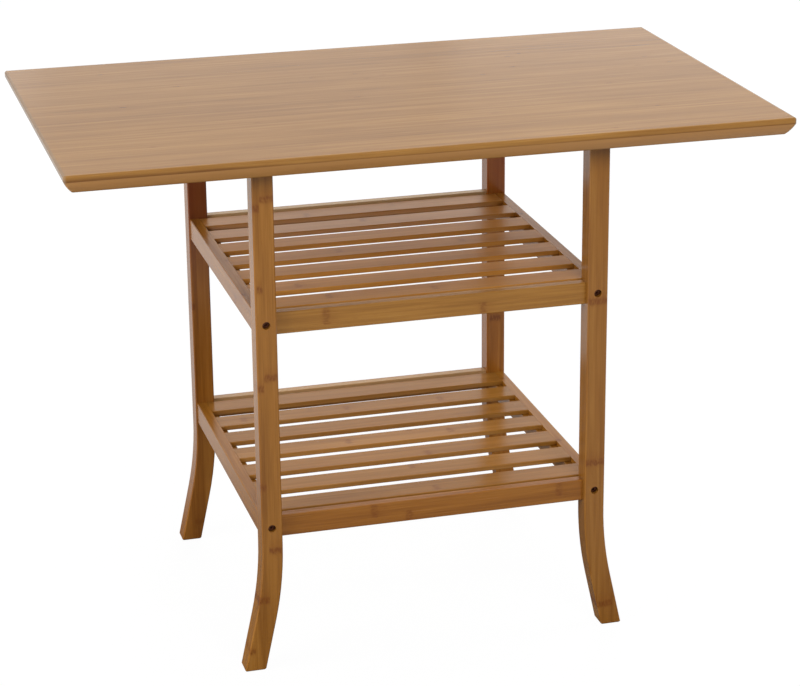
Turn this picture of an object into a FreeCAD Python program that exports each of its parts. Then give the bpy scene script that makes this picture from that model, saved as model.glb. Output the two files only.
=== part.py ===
import FreeCAD, Part
import math
import os

import Sketcher

# Bamboo table with two slatted shelves bolted between four splayed legs.
# Millimetres, +Z up, origin on the floor under the middle of the tabletop.
# X runs along the tabletop, and the side with the bolts towards -Y is the front.

document = FreeCAD.newDocument("storage_table")
sizes = document.addObject("Spreadsheet::Sheet", "sizes")

DRIVING_SIZES = {
    # Tabletop: one board with an upright edge band and a bulging bevel below it, all round
    "table_height": 750,
    "top_length": 1000,
    "top_depth": 600,
    "top_thickness": 25,
    "top_edge_band": 8,
    "top_undercut": 11.5,
    "top_edge_bulge": 1,
    "top_corner_radius": 4,
    "top_arris_radius": 3,
    "top_lower_radius": 2,
    # Legs, and how far the tabletop reaches past them at the front and rear
    "bay_width": 440,
    "front_overhang": 50,
    "leg_width": 29,
    "leg_depth": 30,
    "leg_edge_chamfer": 1.5,
    "flare_start": 185,
    "flare_radius": 500,
    "flare_angle": 12.5,
    "sole_chamfer": 1.5,
    # Shelves: heights of their upper faces, rails and slats
    "upper_shelf_height": 522,
    "lower_shelf_height": 227,
    "rail_height": 31,
    "rail_edge_chamfer": 1,
    "side_rail_width": 25,
    "rebate_width": 10,
    "cross_rail_thickness": 15,
    "cross_rail_setback": 10,
    "rear_rail_lift": 2.5,
    "tenon_length": 9,
    "tenon_shoulder": 5,
    "tenon_cheek": 4,
    "mortise_clearance": 0.1,
    "mortise_spare": 0.5,
    "slat_count": 7,
    "slat_width": 42,
    "slat_thickness": 7,
    "slat_edge_chamfer": 1,
    "slat_end_clearance": 0.2,
    "slat_side_clearance": 0.5,
    # Bearers that carry the tabletop
    "bearer_width": 25,
    "bearer_height": 18,
    "bearer_edge_chamfer": 1,
    # Shelf bolts, which cut their own thread in the side rails
    "bolt_diameter": 6,
    "bolt_grip": 40,
    "bolt_rise": 1.5,
    "bolt_clearance": 0.5,
    "thread_clearance": 0.1,
    "bolt_head_diameter": 10,
    "bolt_head_height": 4,
    "bolt_socket_width": 4,
    "bolt_socket_depth": 2.3,
    "bolt_hole_spare": 2,
    "counterbore_depth": 10,
    "counterbore_clearance": 1,
    # Screws that hold the tabletop down on the bearers
    "screw_diameter": 4,
    "screw_grip": 17,
    "screw_head_diameter": 8,
    "screw_clearance": 0.4,
    "screw_spacing": 280,
    "pilot_clearance": 0.1,
    "pilot_spare": 0.5,
}

for row, (alias, size) in enumerate(DRIVING_SIZES.items(), 1):
    sizes.set(f"A{row}", alias)
    sizes.set(f"B{row}", str(size))
    sizes.setAlias(f"B{row}", alias)
document.recompute()

# Places that several pieces share
BAY_DEPTH = "(sizes.top_depth - 2 * (sizes.front_overhang + sizes.leg_depth))"
LEG_X = "(sizes.bay_width + sizes.leg_width) / 2"
LEG_Y = f"({BAY_DEPTH} + sizes.leg_depth) / 2"
LEG_HEIGHT = "(sizes.table_height - sizes.top_thickness)"
BEVEL_RISE = "(sizes.top_thickness - sizes.top_edge_band)"
BEVEL_RADIUS = (f"((sizes.top_undercut ^ 2 + {BEVEL_RISE} ^ 2) / 4 + sizes.top_edge_bulge ^ 2)"
                " / (2 * sizes.top_edge_bulge)")
CROSS_RAIL_INSET = "(sizes.cross_rail_setback + sizes.cross_rail_thickness / 2)"
CROSS_RAIL_Y = f"({LEG_Y} + sizes.leg_depth / 2 - {CROSS_RAIL_INSET})"
BEARER_MIDDLE = f"({LEG_HEIGHT} - sizes.bearer_height / 2)"
SHELF_TOPS = {"upper": "sizes.upper_shelf_height", "lower": "sizes.lower_shelf_height"}
RAIL_MIDDLES = {name: f"({top} - sizes.rail_height / 2)" for name, top in SHELF_TOPS.items()}
BOLT_LEVELS = [f"({middle} + sizes.bolt_rise)" for middle in RAIL_MIDDLES.values()]
CROSS_RAIL_LIFTS = {-1: "0", 1: "sizes.rear_rail_lift"}
BOLT_BORE = "sizes.bolt_diameter + sizes.bolt_clearance"
BOLT_LENGTH = "(sizes.leg_depth - sizes.counterbore_depth + sizes.bolt_grip)"
RAIL_TENON = ("sizes.cross_rail_thickness - 2 * sizes.tenon_cheek",
              "sizes.rail_height - 2 * sizes.tenon_shoulder")
BEARER_TENON = ("sizes.bearer_width - 2 * sizes.tenon_shoulder",
                "sizes.bearer_height - 2 * sizes.tenon_cheek")
SCREW_LENGTH = "(sizes.bearer_height + sizes.screw_grip)"

# Sketch references: the origin point and the two axes of a sketch, and the named points of its curves
ORIGIN = (-1, 1)
ACROSS, UP = -1, -2
START, END, CENTRE = range(1, 4)
NEAR = 0.001
FULL_TURN = 360

nodes = {}


def number(expression):
    """Value of an expression of the sheet."""
    return float(sizes.evalExpression(expression))


def origin_feature(body, role):
    return next(item for item in body.Origin.OriginFeatures if item.Role == role)


def new_body(label):
    body = document.addObject("PartDesign::Body", label)
    body.Label = label
    return body


def new_sketch(body, role, offset="0"):
    """Sketch on one of the body's own planes, moved along that plane's normal."""
    sketch = body.newObject("Sketcher::SketchObject", f"{body.Name}_sketch")
    sketch.AttachmentSupport = [(origin_feature(body, role), "")]
    sketch.MapMode = "FlatFace"
    sketch.setExpression("AttachmentOffset.Base.z", offset)
    return sketch


def place_point(sketch, curve, point, x, y):
    """Hold one point of a sketch at a place given by two expressions."""
    for kind, axis, expression in (("DistanceX", UP, x), ("DistanceY", ACROSS, y)):
        if expression == "0":
            sketch.addConstraint(Sketcher.Constraint("PointOnObject", curve, point, axis))
        else:
            distance = Sketcher.Constraint(kind, *ORIGIN, curve, point, number(expression))
            held = sketch.addConstraint(distance)
            sketch.setExpression(f"Constraints[{held}]", expression)


def draw_outline(sketch, corners):
    """Closed outline of straight sides through corners given as pairs of expressions."""
    points = [FreeCAD.Vector(number(x), number(y), 0) for x, y in corners]
    sides = [Part.LineSegment(a, b) for a, b in zip(points, points[1:] + points[:1])]
    curves = [sketch.addGeometry(side, False) for side in sides]
    for curve, following in zip(curves, curves[1:] + curves[:1]):
        sketch.addConstraint(Sketcher.Constraint("Coincident", curve, END, following, START))
    for curve, (x, y) in zip(curves, corners):
        place_point(sketch, curve, START, x, y)


def draw_rectangle(sketch, width, height, across="0", up="0"):
    """Rectangle round a middle given by two expressions."""
    left, right = (f"{across} {sign} ({width}) / 2" for sign in "-+")
    bottom, top = (f"{up} {sign} ({height}) / 2" for sign in "-+")
    draw_outline(sketch, [(left, bottom), (right, bottom), (right, top), (left, top)])


def draw_circles(sketch, centres, diameter):
    """Equal circles at centres given as pairs of expressions."""
    for x, y in centres:
        middle = FreeCAD.Vector(number(x), number(y), 0)
        circle = Part.Circle(middle, FreeCAD.Vector(0, 0, 1), number(diameter) / 2)
        curve = sketch.addGeometry(circle, False)
        place_point(sketch, curve, CENTRE, x, y)
        width = sketch.addConstraint(Sketcher.Constraint("Diameter", curve, number(diameter)))
        sketch.setExpression(f"Constraints[{width}]", diameter)


def pad(body, sketch, length):
    """Extrude a sketch by half the length to each side of its plane."""
    feature = body.newObject("PartDesign::Pad", f"{body.Name}_pad")
    feature.Profile = sketch
    feature.SideType = "Symmetric"
    feature.setExpression("Length", length)
    document.recompute()


def revolve(body, sketch):
    """Turn a sketch once round its own upright axis."""
    feature = body.newObject("PartDesign::Revolution", f"{body.Name}_turned")
    feature.Profile = sketch
    feature.ReferenceAxis = (sketch, ["V_Axis"])
    feature.Angle = FULL_TURN
    document.recompute()


def finish_cut(body, feature, before):
    """Bring a cut up to date, and stop if it took nothing away."""
    document.recompute()
    if feature.Shape.Volume > before - NEAR:
        raise RuntimeError(f"{feature.Name} cuts nothing from {body.Label}")


def cut(body, sketch, depth, along_normal=False):
    """Cut a sketch into the solid to a depth, against its normal or along it."""
    before = body.Tip.Shape.Volume
    feature = body.newObject("PartDesign::Pocket", f"{body.Name}_cut")
    feature.Profile = sketch
    feature.setExpression("Length", depth)
    feature.Reversed = along_normal
    finish_cut(body, feature, before)


def cut_through(body, sketch):
    """Cut a sketch right through the solid, to both sides of its plane."""
    before = body.Tip.Shape.Volume
    feature = body.newObject("PartDesign::Pocket", f"{body.Name}_cut")
    feature.Profile = sketch
    feature.SideType = "Symmetric"
    feature.Type = "ThroughAll"
    finish_cut(body, feature, before)
    return feature


def drill(body, sketch, diameter, seat, seat_diameter, seat_depth=None, along_normal=False):
    """Drill through the solid at a sketch's circles, with a seat for the heads."""
    document.recompute()
    before = body.Tip.Shape.Volume
    feature = body.newObject("PartDesign::Hole", f"{body.Name}_holes")
    feature.Profile = sketch
    feature.DepthType = "ThroughAll"
    feature.HoleCutType = seat
    feature.HoleCutCustomValues = True
    feature.Reversed = along_normal
    feature.setExpression("Diameter", diameter)
    feature.setExpression("HoleCutDiameter", seat_diameter)
    if seat_depth:
        feature.setExpression("HoleCutDepth", seat_depth)
    finish_cut(body, feature, before)


def round_edges(body, radius, wanted):
    """Fillet those edges of the body's last feature that pass a test."""
    base = body.Tip
    chosen = [f"Edge{i}" for i, edge in enumerate(base.Shape.Edges, 1) if wanted(edge)]
    feature = body.newObject("PartDesign::Fillet", f"{body.Name}_round")
    feature.Base = (base, chosen)
    feature.setExpression("Radius", radius)
    document.recompute()


def bevel_edges(body, size, wanted):
    """Chamfer those edges of the body's last feature that pass a test."""
    base = body.Tip
    chosen = [f"Edge{i}" for i, edge in enumerate(base.Shape.Edges, 1) if wanted(edge)]
    feature = body.newObject("PartDesign::Chamfer", f"{body.Name}_bevel")
    feature.Base = (base, chosen)
    feature.setExpression("Size", size)
    document.recompute()


def middle_of(edge):
    return edge.valueAt((edge.FirstParameter + edge.LastParameter) / 2)


def runs_along(edge, axis):
    """Whether a straight edge lies along X, Y or Z (0, 1 or 2)."""
    box = edge.BoundBox
    spans = [box.XLength, box.YLength, box.ZLength]
    return spans[axis] > NEAR and all(span < NEAR for i, span in enumerate(spans) if i != axis)


def put(item, x, y, z, axis=FreeCAD.Vector(0, 0, 1), turn=0):
    """Turn a piece about an axis and hold it at a place given by three expressions."""
    item.Placement = FreeCAD.Placement(FreeCAD.Vector(), FreeCAD.Rotation(axis, turn))
    for direction, expression in zip("xyz", (x, y, z)):
        item.setExpression(f"Placement.Base.{direction}", expression)


def keep(label, item):
    """Remember a finished piece under the name of its file."""
    nodes[label] = item


def keep_group(label, pattern, places):
    """Repeat one fastener at several places as a group of separate solids."""
    copies = []
    for place in places:
        copy = document.addObject("App::Link", f"{label}_copy")
        copy.LinkedObject = pattern
        put(copy, *place)
        copies.append(copy)
    group = document.addObject("Part::Compound", label)
    group.Label = label
    group.Links = copies
    keep(label, group)


# Tabletop: the long section is extruded, and the same bevel is then cut across both ends
def draw_top_section(sketch):
    """Section across the board, with both of its bevelled edges."""
    half, inner = "sizes.top_depth / 2", "(sizes.top_depth / 2 - sizes.top_undercut)"
    top = "sizes.top_thickness"
    corners = [(f"-{inner}", "0"), (inner, "0"), (half, BEVEL_RISE), (half, top),
               (f"-{half}", top), (f"-{half}", BEVEL_RISE)]
    points = [FreeCAD.Vector(number(x), number(y), 0) for x, y in corners]
    curves = []
    for index, (start, end) in enumerate(zip(points, points[1:] + points[:1])):
        if index in (1, 5):
            curves.append(sketch.addGeometry(bevel_arc(start, end), False))
        else:
            curves.append(sketch.addGeometry(Part.LineSegment(start, end), False))
    under, right, right_band, over, left_band, left = curves
    joints = [(under, END, right, START), (right, END, right_band, START), (right_band, END, over, START),
              (over, END, left_band, START), (left_band, END, left, START), (left, END, under, START)]
    for joint in joints:
        sketch.addConstraint(Sketcher.Constraint("Coincident", *joint))
    for curve, corner in zip(curves, corners):
        place_point(sketch, curve, START, *corner)
    for arc in (right, left):
        hold_bulge(sketch, arc)


def bevel_arc(start, end):
    """Arc of the bevel, which bulges to the right of the way from its start to its end."""
    chord = end - start
    outwards = FreeCAD.Vector(chord.y, -chord.x, 0).normalize()
    return Part.Arc(start, (start + end) / 2 + outwards * number("sizes.top_edge_bulge"), end)


def hold_bulge(sketch, arc):
    """Hold the radius of a bevel's arc."""
    held = sketch.addConstraint(Sketcher.Constraint("Radius", arc, number(BEVEL_RADIUS)))
    sketch.setExpression(f"Constraints[{held}]", BEVEL_RADIUS)


def draw_end_waste(sketch):
    """What is cut away below the edge band at one end of the board."""
    end = "sizes.top_length / 2"
    outside, inside = f"({end} + sizes.top_undercut)", f"({end} - sizes.top_undercut)"
    corners = [(inside, "0"), (end, BEVEL_RISE), (outside, BEVEL_RISE), (outside, "-sizes.top_undercut"),
               (inside, "-sizes.top_undercut")]
    points = [FreeCAD.Vector(number(x), number(y), 0) for x, y in corners]
    arc = sketch.addGeometry(bevel_arc(points[0], points[1]), False)
    sides = [Part.LineSegment(a, b) for a, b in zip(points[1:], points[2:] + points[:1])]
    curves = [arc] + [sketch.addGeometry(side, False) for side in sides]
    for curve, following in zip(curves, curves[1:] + curves[:1]):
        sketch.addConstraint(Sketcher.Constraint("Coincident", curve, END, following, START))
    for curve, corner in zip(curves, corners):
        place_point(sketch, curve, START, *corner)
    hold_bulge(sketch, arc)


def make_tabletop():
    body = new_body("tabletop")
    section = new_sketch(body, "YZ_Plane")
    draw_top_section(section)
    pad(body, section, "sizes.top_length")
    waste = new_sketch(body, "XZ_Plane")
    draw_end_waste(waste)
    one_end = cut_through(body, waste)
    both_ends = body.newObject("PartDesign::Mirrored", "tabletop_both_ends")
    both_ends.Originals = [one_end]
    both_ends.MirrorPlane = (origin_feature(body, "YZ_Plane"), [""])
    body.Tip = both_ends
    document.recompute()
    half_length, half_depth = number("sizes.top_length / 2"), number("sizes.top_depth / 2")
    thickness = number("sizes.top_thickness")

    def at_corner(edge):
        point = middle_of(edge)
        mitred = abs((half_length - abs(point.x)) - (half_depth - abs(point.y))) < NEAR
        return mitred and edge.BoundBox.ZLength > NEAR

    round_edges(body, "sizes.top_corner_radius", at_corner)
    round_edges(body, "sizes.top_arris_radius", lambda edge: edge.BoundBox.ZMin > thickness - NEAR)
    round_edges(body, "sizes.top_lower_radius", lambda edge: edge.BoundBox.ZMax < NEAR)
    pilots = new_sketch(body, "XY_Plane")
    centres = [(f"{side} * {LEG_X}", f"{end} * sizes.screw_spacing / 2")
               for side in (-1, 1) for end in (-1, 1)]
    draw_circles(pilots, centres, "sizes.screw_diameter + sizes.pilot_clearance")
    cut(body, pilots, "sizes.screw_grip + sizes.pilot_spare", along_normal=True)
    put(body, "0", "0", LEG_HEIGHT)
    keep("tabletop", body)


# Legs: straight post, curve and straight foot in one sawn outline, the same on the inside and the outside
def draw_leg_side(sketch, outward):
    """Side of a leg whose foot swings towards +X or -X (outward 1 or -1)."""
    height, start = number(LEG_HEIGHT), number("sizes.flare_start")
    radius = number("sizes.flare_radius")
    angle = math.radians(number("sizes.flare_angle"))
    centre = FreeCAD.Vector(outward * radius, start, 0)

    def edge(offset):
        """Post, curve and foot of the edge that lies an offset outwards from the middle of the leg."""
        away = number(offset)
        reach = radius - away
        post_top = FreeCAD.Vector(outward * away, height, 0)
        curve_top = FreeCAD.Vector(outward * away, start, 0)
        curve_foot = centre + FreeCAD.Vector(-outward * math.cos(angle), -math.sin(angle), 0) * reach
        sole = curve_foot + FreeCAD.Vector(outward * math.tan(angle), -1, 0) * curve_foot.y
        middle = centre + FreeCAD.Vector(-outward * math.cos(angle / 2), -math.sin(angle / 2), 0) * reach
        post = sketch.addGeometry(Part.LineSegment(post_top, curve_top), False)
        curve = sketch.addGeometry(Part.Arc(curve_top, middle, curve_foot), False)
        foot = sketch.addGeometry(Part.LineSegment(curve_foot, sole), False)
        upper, lower = (START, END) if outward > 0 else (END, START)
        sketch.addConstraint(Sketcher.Constraint("Tangent", post, END, curve, upper))
        sketch.addConstraint(Sketcher.Constraint("Tangent", curve, lower, foot, START))
        sketch.addConstraint(Sketcher.Constraint("PointOnObject", foot, END, ACROSS))
        place_point(sketch, post, START, f"{outward} * {offset}", LEG_HEIGHT)
        sketch.addConstraint(Sketcher.Constraint("Vertical", post))
        return post, curve, foot, post_top, sole

    inner_post, inner_curve, inner_foot, inner_top, inner_sole = edge("(-sizes.leg_width / 2)")
    outer_post, outer_curve, outer_foot, outer_top, outer_sole = edge("(sizes.leg_width / 2)")
    head = sketch.addGeometry(Part.LineSegment(inner_top, outer_top), False)
    sole = sketch.addGeometry(Part.LineSegment(inner_sole, outer_sole), False)
    sketch.addConstraint(Sketcher.Constraint("Coincident", head, START, inner_post, START))
    sketch.addConstraint(Sketcher.Constraint("Coincident", head, END, outer_post, START))
    sketch.addConstraint(Sketcher.Constraint("Coincident", sole, START, inner_foot, END))
    sketch.addConstraint(Sketcher.Constraint("Coincident", sole, END, outer_foot, END))
    sketch.addConstraint(Sketcher.Constraint("Coincident", inner_curve, CENTRE, outer_curve, CENTRE))
    sketch.addConstraint(Sketcher.Constraint("Parallel", inner_foot, outer_foot))
    place_point(sketch, inner_curve, CENTRE, f"{outward} * sizes.flare_radius", "sizes.flare_start")
    lean = sketch.addConstraint(Sketcher.Constraint("Angle", inner_foot, outward * angle - math.pi / 2))
    sketch.setExpression(f"Constraints[{lean}]", f"{outward} * sizes.flare_angle - 90")


def draw_mortise(sketch, tenon, across, up):
    """Mouth of the mortise that a tenon fits, with the clearance all round it."""
    width, height = (f"{size} + 2 * sizes.mortise_clearance" for size in tenon)
    draw_rectangle(sketch, width, height, f"({across})", f"({up})")


def make_leg(label, side, end):
    """One leg; a rear leg is the front leg of the other side, turned half round."""
    outward = -side * end
    body = new_body(label)
    profile = new_sketch(body, "XZ_Plane")
    draw_leg_side(profile, outward)
    pad(body, profile, "sizes.leg_depth")
    half_depth = number("sizes.leg_depth / 2")

    def long_edge(edge):
        on_face = abs(abs(middle_of(edge).y) - half_depth) < NEAR and edge.BoundBox.YLength < NEAR
        return on_face and edge.BoundBox.ZLength > NEAR

    bevel_edges(body, "sizes.leg_edge_chamfer", long_edge)
    bevel_edges(body, "sizes.sole_chamfer", lambda edge: edge.BoundBox.ZMax < NEAR)
    bolts = new_sketch(body, "XZ_Plane", "sizes.leg_depth / 2")
    draw_circles(bolts, [("0", level) for level in BOLT_LEVELS], BOLT_BORE)
    drill(body, bolts, BOLT_BORE, "Counterbore", "sizes.bolt_head_diameter + sizes.counterbore_clearance",
          "sizes.counterbore_depth")
    rail_mortises = new_sketch(body, "YZ_Plane", f"{-outward} * sizes.leg_width / 2")
    for level in RAIL_MIDDLES.values():
        draw_mortise(rail_mortises, RAIL_TENON, f"{CROSS_RAIL_INSET} - sizes.leg_depth / 2",
                     f"{level} + {CROSS_RAIL_LIFTS[end]}")
    cut(body, rail_mortises, "sizes.tenon_length + sizes.mortise_spare", along_normal=outward > 0)
    bearer_mortise = new_sketch(body, "XZ_Plane", "-sizes.leg_depth / 2")
    draw_mortise(bearer_mortise, BEARER_TENON, "0", BEARER_MIDDLE)
    cut(body, bearer_mortise, "sizes.tenon_length + sizes.mortise_spare", along_normal=True)
    put(body, f"{side} * {LEG_X}", f"{end} * {LEG_Y}", "0", turn=0 if end < 0 else FULL_TURN / 2)
    keep(label, body)


# Side rails: the slats lie in a rebate along the inner upper edge, and a bolt is driven into each end
def make_side_rail(label, side, shelf):
    body = new_body(label)
    profile = new_sketch(body, "XZ_Plane")
    outer, inner = "-sizes.side_rail_width / 2", "sizes.side_rail_width / 2"
    shoulder = "(sizes.side_rail_width / 2 - sizes.rebate_width)"
    bottom, top = "-sizes.rail_height / 2", "sizes.rail_height / 2"
    ledge = "(sizes.rail_height / 2 - sizes.slat_thickness)"
    draw_outline(profile, [(outer, bottom), (inner, bottom), (inner, ledge),
                           (shoulder, ledge), (shoulder, top), (outer, top)])
    pad(body, profile, BAY_DEPTH)
    half_width, half_height = number(inner), number(top)

    def outside_edge(edge):
        point = middle_of(edge)
        on_corner = abs(abs(point.x) - half_width) < NEAR and abs(abs(point.z) - half_height) < NEAR
        return on_corner and runs_along(edge, 1)

    bevel_edges(body, "sizes.rail_edge_chamfer", outside_edge)
    for end in (-1, 1):
        bolt_hole = new_sketch(body, "XZ_Plane", f"{-end} * {BAY_DEPTH} / 2")
        draw_circles(bolt_hole, [("0", "sizes.bolt_rise")], "sizes.bolt_diameter + sizes.thread_clearance")
        cut(body, bolt_hole, "sizes.bolt_grip + sizes.bolt_hole_spare", along_normal=end > 0)
    put(body, f"{side} * {LEG_X}", "0", RAIL_MIDDLES[shelf], turn=0 if side < 0 else FULL_TURN / 2)
    keep(label, body)


# Cross rails: plain rails between the left and right legs, with a stub tenon at each end; the rear ones stand
# a little higher than the slats, as a stop
def make_cross_rail(label, end, shelf):
    body = new_body(label)
    profile = new_sketch(body, "YZ_Plane")
    draw_rectangle(profile, "sizes.cross_rail_thickness", "sizes.rail_height")
    pad(body, profile, "sizes.bay_width")
    bevel_edges(body, "sizes.rail_edge_chamfer", lambda edge: runs_along(edge, 0))
    tenons = new_sketch(body, "YZ_Plane")
    draw_rectangle(tenons, *RAIL_TENON)
    pad(body, tenons, "sizes.bay_width + 2 * sizes.tenon_length")
    put(body, "0", f"{end} * {CROSS_RAIL_Y}", f"{RAIL_MIDDLES[shelf]} + {CROSS_RAIL_LIFTS[end]}")
    keep(label, body)


# Slats: they lie on the ledges of the two side rails, level with the rails' upper faces
def make_slat(label, index, count, shelf):
    body = new_body(label)
    profile = new_sketch(body, "YZ_Plane")
    draw_rectangle(profile, "sizes.slat_width", "sizes.slat_thickness")
    shoulder_x = f"({LEG_X} - sizes.side_rail_width / 2 + sizes.rebate_width)"
    pad(body, profile, f"2 * ({shoulder_x} - sizes.slat_end_clearance)")
    bevel_edges(body, "sizes.slat_edge_chamfer", lambda edge: runs_along(edge, 0))
    first_y = f"({BAY_DEPTH} / 2 - sizes.slat_side_clearance - sizes.slat_width / 2)"
    share = 2 * index / (count - 1) - 1
    put(body, "0", f"{share} * {first_y}", f"{SHELF_TOPS[shelf]} - sizes.slat_thickness / 2")
    keep(label, body)


# Bearers: battens across the grain of the tabletop, tenoned between the front and rear legs
def make_bearer(label, side):
    body = new_body(label)
    profile = new_sketch(body, "XZ_Plane")
    draw_rectangle(profile, "sizes.bearer_width", "sizes.bearer_height")
    pad(body, profile, BAY_DEPTH)
    bevel_edges(body, "sizes.bearer_edge_chamfer",
                lambda edge: runs_along(edge, 1) and middle_of(edge).z < 0)
    tenons = new_sketch(body, "XZ_Plane")
    draw_rectangle(tenons, *BEARER_TENON)
    pad(body, tenons, f"{BAY_DEPTH} + 2 * sizes.tenon_length")
    screws = new_sketch(body, "XY_Plane", "-sizes.bearer_height / 2")
    clear = "sizes.screw_diameter + sizes.screw_clearance"
    draw_circles(screws, [("0", f"{end} * sizes.screw_spacing / 2") for end in (-1, 1)], clear)
    seat = "sizes.screw_head_diameter + sizes.screw_clearance"
    drill(body, screws, clear, "Countersink", seat, along_normal=True)
    put(body, f"{side} * {LEG_X}", "0", BEARER_MIDDLE)
    keep(label, body)


# Shelf bolt: its head bears on the floor of the counterbore, at z = 0, and its thread runs towards +Z
def make_bolt_pattern():
    body = new_body("bolt_pattern")
    profile = new_sketch(body, "XZ_Plane")
    head, shank = "sizes.bolt_head_diameter / 2", "sizes.bolt_diameter / 2"
    outside = "-sizes.bolt_head_height"
    draw_outline(profile, [("0", outside), (head, outside), (head, "0"),
                           (shank, "0"), (shank, BOLT_LENGTH), ("0", BOLT_LENGTH)])
    revolve(body, profile)
    socket = new_sketch(body, "XY_Plane", outside)
    corner, half_corner = "sizes.bolt_socket_width / sqrt(3)", "sizes.bolt_socket_width / sqrt(12)"
    flat = "sizes.bolt_socket_width / 2"
    draw_outline(socket, [(corner, "0"), (half_corner, flat), (f"-{half_corner}", flat),
                          (f"-{corner}", "0"), (f"-{half_corner}", f"-{flat}"), (half_corner, f"-{flat}")])
    cut(body, socket, "sizes.bolt_socket_depth", along_normal=True)
    return body


# Countersunk screw along +Z, with the flat of its head at z = 0
def make_screw_pattern():
    body = new_body("screw_pattern")
    profile = new_sketch(body, "XZ_Plane")
    head, shank = "sizes.screw_head_diameter / 2", "sizes.screw_diameter / 2"
    neck = "(sizes.screw_head_diameter - sizes.screw_diameter) / 2"
    draw_outline(profile, [("0", "0"), (head, "0"), (shank, neck),
                           (shank, SCREW_LENGTH), ("0", SCREW_LENGTH)])
    revolve(body, profile)
    return body


SIDES = {"left": -1, "right": 1}
ENDS = {"front": -1, "rear": 1}

make_tabletop()
for end_name, end in ENDS.items():
    for side_name, side in SIDES.items():
        make_leg(f"leg_{end_name}_{side_name}", side, end)
for side_name, side in SIDES.items():
    make_bearer(f"top_bearer_{side_name}", side)
slat_count = round(number("sizes.slat_count"))
for shelf in SHELF_TOPS:
    for side_name, side in SIDES.items():
        make_side_rail(f"{shelf}_side_rail_{side_name}", side, shelf)
    for end_name, end in ENDS.items():
        make_cross_rail(f"{shelf}_{end_name}_rail", end, shelf)
    for index in range(slat_count):
        make_slat(f"{shelf}_slat_{index + 1}", index, slat_count, shelf)

# Fasteners, each kind repeated at its joints
corners = [(side, end) for side in SIDES.values() for end in ENDS.values()]
crosswise, quarter_turn = FreeCAD.Vector(1, 0, 0), FULL_TURN / 4
bolt_seat_y = f"({LEG_Y} + sizes.leg_depth / 2 - sizes.counterbore_depth)"
keep_group("shelf_bolts", make_bolt_pattern(), [
    (f"{side} * {LEG_X}", f"{end} * {bolt_seat_y}", level, crosswise, end * quarter_turn)
    for side, end in corners for level in BOLT_LEVELS])
keep_group("top_screws", make_screw_pattern(), [
    (f"{side} * {LEG_X}", f"{end} * sizes.screw_spacing / 2", f"{LEG_HEIGHT} - sizes.bearer_height")
    for side, end in corners])
document.recompute()

for item in document.Objects:
    if "Invalid" in item.State or "Error" in item.State:
        raise RuntimeError(f"{item.Label} failed to build")
for label, item in nodes.items():
    if item.Shape.isNull() or not item.Shape.isValid() or not item.Shape.Solids:
        raise RuntimeError(f"{label} has no sound solid")
os.makedirs("parts", exist_ok=True)
for label, item in nodes.items():
    item.Shape.exportStep(f"parts/{label}.step")
print(f"{len(nodes)} nodes, {sum(len(item.Shape.Solids) for item in nodes.values())} solids")
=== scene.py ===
import math

import bpy
from mathutils import Matrix, Vector


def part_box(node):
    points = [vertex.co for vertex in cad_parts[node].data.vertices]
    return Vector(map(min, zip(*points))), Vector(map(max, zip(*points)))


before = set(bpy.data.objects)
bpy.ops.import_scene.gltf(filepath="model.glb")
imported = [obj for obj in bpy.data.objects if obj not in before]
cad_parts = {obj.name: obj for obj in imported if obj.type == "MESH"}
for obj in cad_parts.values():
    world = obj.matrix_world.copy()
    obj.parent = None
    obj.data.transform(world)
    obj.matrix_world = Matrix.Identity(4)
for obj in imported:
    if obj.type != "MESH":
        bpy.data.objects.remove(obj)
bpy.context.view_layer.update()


# Tabletop
# One board pressed from narrow bamboo strips that run along its length. Its edge is moulded, and it is
# sanded and sealed with clear lacquer. Screws through two bearers hold it down from below.
class Wire:
    """A value on its way through a material's nodes. Arithmetic on it adds Math nodes."""

    def __init__(self, socket):
        self.socket = socket

    def node(self, kind, settings, inputs, output=0):
        """Add a node: its settings first, then the values or wires of its sockets."""
        tree = self.socket.id_data
        made = tree.nodes.new(kind)
        for name, value in settings.items():
            if name == "stops":
                set_stops(made.color_ramp, value)
            else:
                setattr(made, name, value)
        for name, value in inputs.items():
            if isinstance(value, Wire):
                tree.links.new(value.socket, made.inputs[name])
            else:
                made.inputs[name].default_value = value
        return Wire(made.outputs[output])

    def other(self, output):
        """Another output of the node that this value comes from."""
        return Wire(self.socket.node.outputs[output])

    def math(self, operation, *values):
        """Add a Math node that takes this value first."""
        return self.node("ShaderNodeMath", {"operation": operation}, dict(enumerate((self, *values))))

    def fade(self, start, end):
        """Goes smoothly from 0 at the start value to 1 at the end value."""
        settings = {"interpolation_type": "SMOOTHSTEP", "clamp": True}
        inputs = {"Value": self, "From Min": start, "From Max": end}
        return self.node("ShaderNodeMapRange", settings, inputs)

    def __add__(self, value):
        return self.math("ADD", value)

    def __sub__(self, value):
        return self.math("SUBTRACT", value)

    def __rsub__(self, value):
        return (self * -1.0) + value

    def __mul__(self, value):
        return self.math("MULTIPLY", value)

    def __truediv__(self, value):
        return self.math("DIVIDE", value)

    __radd__ = __add__
    __rmul__ = __mul__


def set_stops(ramp, stops):
    """Give a colour ramp its stops, as pairs of place and colour."""
    while len(ramp.elements) < len(stops):
        ramp.elements.new(0.5)
    for element, (place, colour) in zip(ramp.elements, stops):
        element.position = place
        element.color = colour


def paint(red, green, blue):
    """Colour of a surface from the 0 to 255 values that it shows on a screen."""
    shown = [level / 255 for level in (red, green, blue)]
    linear = [level / 12.92 if level <= 0.04045 else ((level + 0.055) / 1.055) ** 2.4 for level in shown]
    return (*linear, 1.0)


def mixed(share, first, second):
    """Colour between two colours or wires."""
    inputs = {0: share, 6: first, 7: second}
    return share.node("ShaderNodeMix", {"data_type": "RGBA"}, inputs, output=2)


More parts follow.
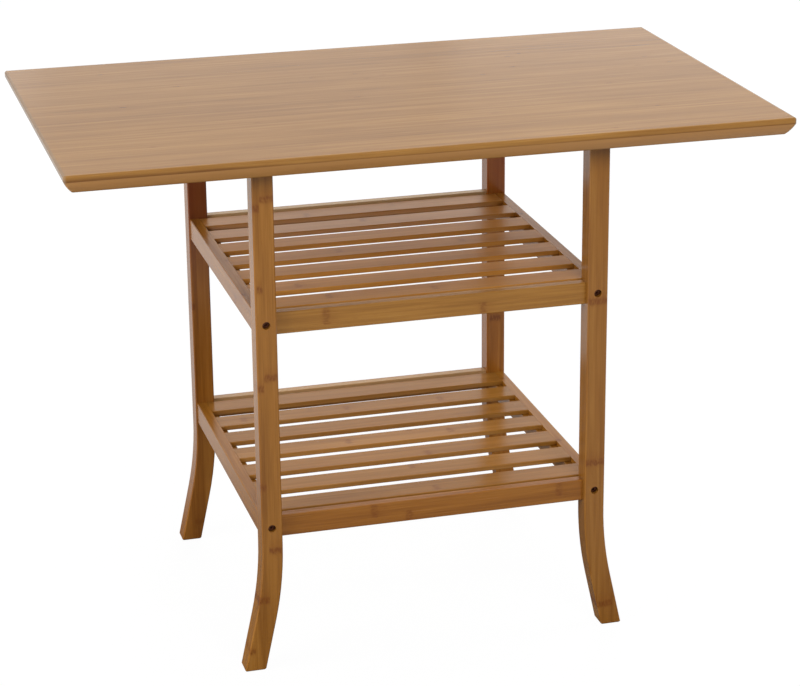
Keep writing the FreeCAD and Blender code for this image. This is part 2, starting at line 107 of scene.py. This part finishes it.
def speckle(place, scale, detail=2.0):
    """Noise from 0 to 1 at a place that is given by a vector. The scale is in patches per metre."""
    return place.node("ShaderNodeTexNoise", {}, {"Vector": place, "Scale": scale, "Detail": detail})


def joined(across, through, along):
    """Vector of a wire and two more wires or numbers."""
    return across.node("ShaderNodeCombineXYZ", {}, {"X": across, "Y": through, "Z": along})


def chances(cell):
    """Two numbers from 0 to 1 that stay the same all over one cell."""
    settings = {"noise_dimensions": "3D"}
    drawn = cell.node("ShaderNodeTexWhiteNoise", settings, {"Vector": cell}, output="Color")
    red = drawn.node("ShaderNodeSeparateColor", {}, {"Color": drawn})
    return red, red.other("Green")


def lattice(value, size, edge):
    """Number of the strip that a place lies in, and the distance from the nearer side of that strip."""
    steps = (value - edge) / size
    number = steps.math("FLOOR")
    share = steps - number
    return number, share.math("MINIMUM", 1.0 - share) * size


def knuckle(away, inside):
    """Ridge across a strip where the culm had a joint, and the stain that fades out above the ridge."""
    ridge_core = 0.0020
    ridge_reach = 0.0070
    stain_below = 0.012
    stain_above = 0.024
    ridge = (1.0 - away.math("ABSOLUTE").fade(ridge_core, ridge_reach)) * inside
    stain = away.fade(-stain_below, 0.0) * (1.0 - away.fade(ridge_core, stain_above)) * inside
    return ridge, stain


def new_material(name):
    """A material and its node tree."""
    material = bpy.data.materials.new(name)
    material.use_nodes = True
    return material, material.node_tree


def place_on(tree):
    """Place on a piece as a vector, from the middle of the floor under the table."""
    return Wire(tree.nodes.new("ShaderNodeTexCoord").outputs["Object"])


def split_place(tree):
    """X of the place on a piece. The other outputs of its node are Y and Z."""
    place = place_on(tree)
    return place.node("ShaderNodeSeparateXYZ", {}, {"Vector": place})


stain_brown = paint(119, 67, 13)
ridge_brown = paint(102, 51, 8)


def laminated_bamboo(name, grain, strip, layer, tones, knuckle_gap, knuckle_share, knuckle_axis="X",
                     knuckles=(), knuckle_depth=1.0, contrast=0.9, fibre_length=0.09, roughness=0.23,
                     lacquer_index=1.4):
    """Lacquered bamboo whose strips run along the grain axis.

    Strip and layer are sizes across the grain, each with the place of one edge. Knuckles stand at chance
    places, and also at the given ones: from and to along the knuckle axis, and the place along the grain.
    """
    material, tree = new_material(name)
    split = split_place(tree)
    axes = {axis: split.other(axis) for axis in "XYZ"}
    beside = axes[knuckle_axis]
    along = axes.pop(grain)
    across, through = axes.values()

    # Each strip has its own tone and its own start along the culm
    culm_length = 3.0
    column, edge_distance = lattice(across, *strip)
    row, layer_distance = lattice(through, *layer)
    tone_chance, start_chance = chances(joined(column, row, 0.0))
    start = along + start_chance * culm_length

    # Fibres are drawn out along the strip, and broad clouds of colour cross many of them
    fibre_width = 0.0011
    streak_width = 0.0035
    fibre = speckle(joined(across, through, start * (fibre_width / fibre_length)), 900.0, 3.0)
    streak = speckle(joined(across, through, start * (streak_width / fibre_length)), 170.0)
    cloud = speckle(joined(across, through, along * 0.3), 8.0)
    weights = ((tone_chance, 0.28), (fibre, 0.6), (streak, 0.9), (cloud, 0.42))
    spread = sum((part - 0.5) * weight for part, weight in weights)
    tone = 0.5 + spread * contrast
    dark, middle, light = tones
    stops = [(0.1, dark), (0.5, middle), (0.9, light)]
    colour = tone.node("ShaderNodeValToRGB", {"stops": stops}, {"Fac": tone})

    # Short dark pores lie along the fibres
    pores = speckle(joined(across, through, along * 0.12), 420.0, 1.0).fade(0.68, 0.78)
    colour = mixed(pores * 0.28, colour, dark)

    # Knuckles at chance places, each across a single strip
    unevenness = 0.006
    strip_margin = 0.0025
    wobble = (speckle(joined(across, through, along * 0.3), 170.0) - 0.5) * unevenness
    steps = start / knuckle_gap
    turn = steps.math("FLOOR")
    strength, shift = chances(joined(column, row, turn + 0.5))
    away = (steps - turn - 0.5 + (shift - 0.5) * 0.6) * knuckle_gap + wobble
    present = 1.0 - strength.fade(knuckle_share - 0.1, knuckle_share + 0.1)
    ridge, stain = knuckle(away, edge_distance.fade(0.0, strip_margin) * present)

    # Knuckles at given places
    for low, high, level in knuckles:
        off_middle = (beside - (low + high) / 2).math("ABSOLUTE")
        half_width = (high - low) / 2
        inside = 1.0 - off_middle.fade(half_width - 0.0015, half_width + 0.001)
        next_ridge, next_stain = knuckle(along - level + wobble, inside)
        ridge = ridge.math("MAXIMUM", next_ridge)
        stain = stain.math("MAXIMUM", next_stain)
    broken = speckle(joined(across, through, along * 0.35), 480.0).fade(0.32, 0.62)
    colour = mixed(stain * (0.24 + broken * 0.20) * knuckle_depth, colour, stain_brown)
    colour = mixed(ridge * (0.20 + broken * 0.50) * knuckle_depth, colour, ridge_brown)

    # Glue lines between the strips
    glue_width = 0.0005
    seam = 1.0 - edge_distance.math("MINIMUM", layer_distance).fade(0.0, glue_width)
    colour = mixed(seam * 0.18, colour, dark)

    # Lacquer fills the pores, so roughness and relief change only a little with the fibre
    rough = roughness + (fibre - 0.5) * 0.08
    height = fibre * 0.3 + streak * 0.2 - seam * 0.3
    relief = height.node("ShaderNodeBump", {}, {"Strength": 0.05, "Distance": 0.0004, "Height": height})
    shader = tree.nodes["Principled BSDF"]
    for socket, value in (("Base Color", colour), ("Roughness", rough), ("Normal", relief)):
        tree.links.new(value.socket, shader.inputs[socket])
    shader.inputs["IOR"].default_value = lacquer_index
    return material


def grain_and_place(material):
    """Colour that a material has so far, and the X of its surface, whose other outputs are Y and Z."""
    tree = material.node_tree
    colour = tree.nodes["Principled BSDF"].inputs["Base Color"].links[0].from_socket
    return Wire(colour), split_place(tree)


def recolour(material, colour):
    """Give a material this colour in place of the one it has so far."""
    tree = material.node_tree
    tree.links.new(colour.socket, tree.nodes["Principled BSDF"].inputs["Base Color"])


def dress(material, slot, *names):
    """Give CAD pieces their finish."""
    for name in names:
        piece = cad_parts[name]
        piece.data.materials.clear()
        piece.data.materials.append(material)


board_low, board_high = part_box("tabletop")
face_layer = 0.008
glue_level = board_high.z - face_layer
board_tones = paint(122, 80, 30), paint(146, 102, 45), paint(168, 124, 63)
board = laminated_bamboo("board_bamboo", "X", strip=(0.0065, 0.0), layer=(0.0185, glue_level),
                         tones=board_tones, knuckle_gap=0.35, knuckle_share=0.12, knuckle_depth=0.6,
                         contrast=0.8, fibre_length=0.075)

# The face layer is glued to a core with a dark seam, which shows all round the moulded edge. The core is
# paler, partly its own tone and partly painted light from below on the downward bevel. Above the seam
# runs a painted brown shade, broad at the left end and thin further right.
core_and_lit_tan = paint(179, 129, 75)
seam_and_shade_brown = paint(88, 46, 8)
seam_below = 0.0014
painted_shade_foot = 0.0004
thinnest_painted_shade = 0.0016
painted_shade_growth = 0.0036
grained, board_x = grain_and_place(board)
board_y = board_x.other("Y")
board_z = board_x.other("Z")
# Painted brown shade above the seam: how far up it reaches along the board
uneven = speckle(joined(board_x * 0.5, board_y * 0.5, 0.0), 9.0).fade(0.25, 0.6)
left_end = 1.0 - board_x.fade(-0.32, -0.20)
painted_shade_strength = uneven * 0.35 + left_end * 0.65
painted_shade_top = thinnest_painted_shade + painted_shade_strength * painted_shade_growth
rise = board_z - glue_level
seam_and_painted_shade = rise.fade(-seam_below, 0.0) * (1.0 - rise.fade(painted_shade_foot, painted_shade_top))
# Core below the seam painted paler: partly its own tone, partly painted light from below
core = (1.0 - rise.fade(-0.0012, 0.0)) * board_z.fade(board_low.z + 0.0002, board_low.z + 0.0025)
edged = mixed(core * 0.6, grained, core_and_lit_tan)
edged = mixed(seam_and_painted_shade * (0.26 + painted_shade_strength * 0.40), edged, seam_and_shade_brown)

# Painted shade: both ends of the board, where the fibres are cut across, are painted greyer
end_shade_grey = paint(126, 108, 88)
painted_shade_end = board_x.math("ABSOLUTE").fade(board_high.x - 0.0045, board_high.x - 0.0015)
recolour(board, mixed(painted_shade_end * 0.55, edged, end_shade_grey))
dress(board, "bamboo_top", "tabletop")


# Legs
# Each leg is sawn in one piece from a laminated bamboo blank, so its strips stay upright where the foot
# swings out. Its edges are eased, and counterbored holes take the shelf bolts.
def tinted(tones, red, green, blue):
    """Tones of another blank, each channel brighter or darker by a factor."""
    return [(tone[0] * red, tone[1] * green, tone[2] * blue, 1.0) for tone in tones]


leg_tones = paint(114, 68, 16), paint(141, 91, 29), paint(160, 111, 44)
leg_tints = {
    "front_left": (1.0, 1.03, 1.25),
    "front_right": (0.87, 0.87, 1.05),
    "rear_left": (0.90, 0.82, 0.80),
    "rear_right": (1.02, 0.91, 0.80),
}
leg_strip = (0.0185, -0.2397)
leg_layer = (0.0165, -0.2405)

# Knuckles that show: from and to across the leg, and the height
leg_knuckles = {
    "front_left": [(-0.2397, -0.220, 0.6835), (-0.249, -0.2397, 0.6718), (-0.2463, -0.2380, 0.5584),
                   (-0.2397, -0.2212, 0.4331), (-0.2490, -0.2397, 0.4189), (-0.2493, -0.2407, 0.2745),
                   (-0.2397, -0.2212, 0.1800), (-0.2582, -0.2405, 0.1056), (-0.2715, -0.2627, 0.0298)],
    "front_right": [(0.2205, 0.2485, 0.4970), (0.2205, 0.2490, 0.2561), (0.2390, 0.2645, 0.0333)],
    "rear_left": [(-0.2495, -0.2440, 0.3839), (-0.2582, -0.2397, 0.631)],
    "rear_right": [(0.2242, 0.2427, 0.318), (0.2427, 0.2612, 0.572)],
}

# Painted shade on the front faces of the rear legs, redder towards the top under the tabletop: the
# heights between which it comes in, share and colour
painted_shade_faces = {
    "rear_left": (0.36, 0.56, 0.7, paint(99, 39, 25)),
    "rear_right": (0.45, 0.56, 0.5, paint(164, 76, 0)),
}
for corner, knuckles in leg_knuckles.items():
    leg = laminated_bamboo(f"leg_bamboo_{corner}", "Z", strip=leg_strip, layer=leg_layer,
                           tones=tinted(leg_tones, *leg_tints[corner]), knuckle_gap=0.4,
                           knuckle_share=0.0, knuckles=knuckles)
    if corner in painted_shade_faces:
        low, high, share, shade_red = painted_shade_faces[corner]
        leg_low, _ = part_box(f"leg_{corner}")
        leg_grain, leg_x = grain_and_place(leg)
        # Painted shade: only on the front face of the leg, and only on its upper part
        front_face = 1.0 - leg_x.other("Y").fade(leg_low.y + 0.0005, leg_low.y + 0.0025)
        upper_part = leg_x.other("Z").fade(low, high)
        recolour(leg, mixed(upper_part * front_face * share, leg_grain, shade_red))
    dress(leg, "bamboo_frame", f"leg_{corner}")


# Rails and bearers
# Square-planed bamboo battens. Side rails run from front to rear and hold the slats in a rebate, cross
# rails run from left to right between the legs, and bearers carry the top.
shelves = ("upper", "lower")
sides = ("left", "right")
rail_layer = (0.0148, 0.2125)
side_rail = laminated_bamboo("side_rail_bamboo", "Y", strip=leg_strip, layer=rail_layer, tones=leg_tones,
                             knuckle_gap=0.3, knuckle_share=0.45)
dress(side_rail, "bamboo_frame", *[f"{shelf}_side_rail_{side}" for shelf in shelves for side in sides])
dress(side_rail, "bamboo_frame", *[f"top_bearer_{side}" for side in sides])

# Knuckles that show on the cross rails: from and to up the rail, and the place along it
rail_knuckles = [(0.4980, 0.5215, -0.1497), (0.2065, 0.2265, -0.0864), (0.1975, 0.2125, -0.0367),
                 (0.2065, 0.2265, 0.1844), (0.4925, 0.5085, 0.0715)]
rail_tints = {"upper": (1.12, 1.28, 1.85), "lower": (0.95, 0.88, 0.82)}
# Painted light on the rear rails: its colour, its share on each shelf, and its height below the top
painted_light_tan = paint(194, 164, 122)
painted_light_shares = {"upper": 0.85, "lower": 0.5}
painted_light_height = 0.010
for shelf in shelves:
    cross_rail = laminated_bamboo(f"cross_rail_bamboo_{shelf}", "X", strip=(0.0200, -0.2320),
                                  layer=rail_layer, tones=tinted(leg_tones, *rail_tints[shelf]),
                                  knuckle_gap=0.4, knuckle_share=0.0, knuckle_axis="Z",
                                  knuckles=rail_knuckles, knuckle_depth=0.7, roughness=0.26)
    dress(cross_rail, "bamboo_frame", f"{shelf}_front_rail")

    # Painted light on a rear rail: it is painted paler at the top of its front side and on most of its
    # upper edge
    rear_rail = cross_rail.copy()
    rear_rail.name = f"rear_rail_bamboo_{shelf}"
    _, rail_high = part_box(f"{shelf}_rear_rail")
    painted_light_level = rail_high.z - painted_light_height
    rail_grain, rail_x = grain_and_place(rear_rail)
    painted_light_strip = rail_x.other("Z").fade(painted_light_level - 0.0006, painted_light_level + 0.0006)
    shelf_side = 1.0 - rail_x.other("Y").fade(rail_high.y - 0.0035, rail_high.y - 0.0025)
    recolour(rear_rail, mixed(painted_light_strip * shelf_side * painted_light_shares[shelf], rail_grain, painted_light_tan))
    dress(rear_rail, "bamboo_frame", f"{shelf}_rear_rail")


# Shelf slats
# Thin planed bamboo slats with eased edges, two strips wide, glued down in the rebates of the side
# rails. On the upper shelf the rear two have a glossier lacquer than the rest.
slat_tones = paint(118, 73, 22), paint(144, 96, 35), paint(163, 115, 51)
slat_tints = {"upper": (1.16, 1.16, 1.45), "lower": (0.92, 0.93, 1.06)}
slat_count = 7
slat_reach = 0.397
slat_strip = (slat_reach / (slat_count - 1) / 2, slat_reach / 2)
slat_layer = (0.0210, 0.2130)

# Knuckles that show: the place along the slat, and across the shelf
slat_knuckles = {
    "upper": [(-0.071, 0.004), (0.113, 0.001), (0.014, -0.198), (-0.134, -0.193), (-0.164, -0.136),
              (0.000, 0.141), (0.044, -0.116), (-0.074, 0.192)],
    "lower": [(-0.032, 0.134), (0.116, 0.131), (0.034, 0.021), (0.094, 0.000), (-0.063, -0.001),
              (0.037, -0.077), (0.001, -0.120), (0.013, -0.206), (-0.193, 0.131)],
}
half_knuckle = 0.009

# Coats of lacquer: first and last slat, roughness and refractive index
slat_coats = {
    "upper": [(1, 5, 0.33, 1.26), (6, slat_count, 0.33, 1.58)],
    "lower": [(1, slat_count, 0.2, 1.4)],
}
for shelf, coats in slat_coats.items():
    shown = slat_knuckles[shelf]
    knuckles = [(across - half_knuckle, across + half_knuckle, along) for along, across in shown]
    for first, last, roughness, lacquer_index in coats:
        slat = laminated_bamboo(f"slat_bamboo_{shelf}_{first}", "X", strip=slat_strip, layer=slat_layer,
                                tones=tinted(slat_tones, *slat_tints[shelf]), knuckle_gap=0.27,
                                knuckle_share=0.0, knuckle_axis="Y", knuckles=knuckles, knuckle_depth=0.6,
                                contrast=0.62, roughness=roughness, lacquer_index=lacquer_index)
        dress(slat, "bamboo_slats", *[f"{shelf}_slat_{number}" for number in range(first, last + 1)])


# Shelf bolts and top screws
# Steel fasteners plated in a dark bronze tone: socket-headed bolts sunk in the legs, countersunk screws
# in the bearers.
def plated_steel():
    """Metal with small cloudy patches in its tone and its polish."""
    material, tree = new_material("plated_steel")
    cloudy = speckle(place_on(tree), 420.0, 3.0)
    stops = [(0.3, paint(58, 32, 22)), (0.7, paint(124, 80, 60))]
    colour = cloudy.node("ShaderNodeValToRGB", {"stops": stops}, {"Fac": cloudy})
    shader = tree.nodes["Principled BSDF"]
    tree.links.new(colour.socket, shader.inputs["Base Color"])
    tree.links.new((0.28 + cloudy * 0.2).socket, shader.inputs["Roughness"])
    shader.inputs["Metallic"].default_value = 1.0
    return material


dress(plated_steel(), "steel_hardware", "shelf_bolts", "top_screws")


# Floor and background
# A white studio sweep: the camera sees it white with a faint shadow, and reflections see it dimmer. Close
# to the table its floor is painted darker in reflections, as painted shade, so the feet mirror little of
# it.
def seen_directly(tree, mirrored):
    """1 for what the camera sees, the mirrored share for reflections, 0 for light that scatters."""
    path = Wire(tree.nodes.new("ShaderNodeLightPath").outputs["Is Camera Ray"])
    straight = path.math("MAXIMUM", path.other("Is Transmission Ray"))
    return straight.math("MAXIMUM", path.other("Is Glossy Ray") * mirrored)


white = (1.0, 1.0, 1.0, 1.0)
black = (0.0, 0.0, 0.0, 1.0)
floor_grey = paint(170, 170, 170)
floor_size = 40.0
floor_glow = 1.04
shadow_share = 0.07
sky_mirrored = 0.42
deepest_painted_shade = 0.75

# Distances from the middle of the table over which reflections of the floor grow brighter
glow_grows = (0.45, 1.35)
grey_grows = (0.30, 0.75)

bpy.ops.mesh.primitive_plane_add(size=floor_size)
floor = bpy.context.object
floor.name = "floor"
floor_material, floor_tree = new_material("white_floor")
floor_tree.nodes.clear()
floor_place = place_on(floor_tree)
measure = {"operation": "LENGTH"}
from_table = floor_place.node("ShaderNodeVectorMath", measure, {0: floor_place}, output="Value")
seen = seen_directly(floor_tree, from_table.fade(*glow_grows) * sky_mirrored)
# Painted shade on the floor, only for reflections, deepest close to the table
reflected = Wire(floor_tree.nodes.new("ShaderNodeLightPath").outputs["Is Glossy Ray"])
painted_floor_shade = reflected * (1.0 - from_table.fade(*grey_grows)) * deepest_painted_shade
floor_colour = mixed(painted_floor_shade, floor_grey, black)
scattering = seen.node("ShaderNodeBsdfDiffuse", {}, {"Color": floor_colour})
shining = seen.node("ShaderNodeEmission", {}, {"Color": white, "Strength": floor_glow})
lit_share = seen * (1.0 - shadow_share)
floor_look = seen.node("ShaderNodeMixShader", {}, {0: lit_share, 1: scattering, 2: shining})
floor_end = floor_tree.nodes.new("ShaderNodeOutputMaterial")
floor_tree.links.new(floor_look.socket, floor_end.inputs["Surface"])
floor.data.materials.append(floor_material)

sky_light = 0.35
world = bpy.data.worlds.new("studio")
world.use_nodes = True
bpy.context.scene.world = world
world_tree = world.node_tree
sky = world_tree.nodes["Background"]
sky.inputs["Color"].default_value = white
sky_strength = sky_light + seen_directly(world_tree, sky_mirrored) * (1.0 - sky_light)
world_tree.links.new(sky_strength.socket, sky.inputs["Strength"])


# Lamps
# Four large soft boxes around the table, low enough to shine in under the top, which reflections don't
# show. Three dim low panels behind the table show as a soft sheen on the far part of the top.
table_middle = Vector((0.0, 0.0, 0.4))


def soft_box(name, place, size, watts, mirrored=False):
    """A square lamp that faces the middle of the table."""
    lamp = bpy.data.lights.new(name, "AREA")
    lamp.shape = "SQUARE"
    lamp.size = size
    lamp.energy = watts
    holder = bpy.data.objects.new(name, lamp)
    holder.visible_glossy = mirrored
    holder.location = place
    holder.rotation_euler = (table_middle - Vector(place)).to_track_quat("-Z", "Y").to_euler()
    bpy.context.scene.collection.objects.link(holder)


soft_box("left_box", (-3.6, -0.9, 1.5), size=2.4, watts=135.0)
soft_box("front_box", (0.4, -2.9, 2.5), size=1.5, watts=72.0)
soft_box("back_box", (1.0, 3.8, 2.4), size=2.4, watts=170.0)
soft_box("right_box", (4.0, 0.3, 2.2), size=2.4, watts=93.0)
soft_box("right_panel", (2.0, 4.2, 0.95), size=1.3, watts=5.0, mirrored=True)
soft_box("left_panel", (0.55, 4.2, 0.95), size=1.3, watts=2.4, mirrored=True)
soft_box("far_left_panel", (-0.55, 4.2, 0.95), size=1.1, watts=4.6, mirrored=True)


# Camera
# A long lens at the photograph's viewpoint: in front of the table, a little to its left and above its
# top. Its frame is moved sideways so that the table stands where the photograph has it.
photo_width = 800
focal_pixels = 2521.5
centre_pixel = 440.0
azimuth, elevation, roll = (math.radians(angle) for angle in (-16.145, 19.576, -0.264))
camera_data = bpy.data.cameras.new("photo_camera")
camera_data.sensor_width = 36.0
camera_data.lens = camera_data.sensor_width * focal_pixels / photo_width
camera_data.shift_x = (photo_width / 2 - centre_pixel) / photo_width
camera = bpy.data.objects.new("photo_camera", camera_data)
camera.location = (-0.8957, -3.3670, 1.6129)
turned = Matrix.Rotation(azimuth, 3, "Z") @ Matrix.Rotation(math.pi / 2 - elevation, 3, "X")
camera.rotation_euler = (turned @ Matrix.Rotation(roll, 3, "Z")).to_euler()
bpy.context.scene.collection.objects.link(camera)
bpy.context.scene.camera = camera
bpy.context.scene.view_settings.view_transform = "Standard"
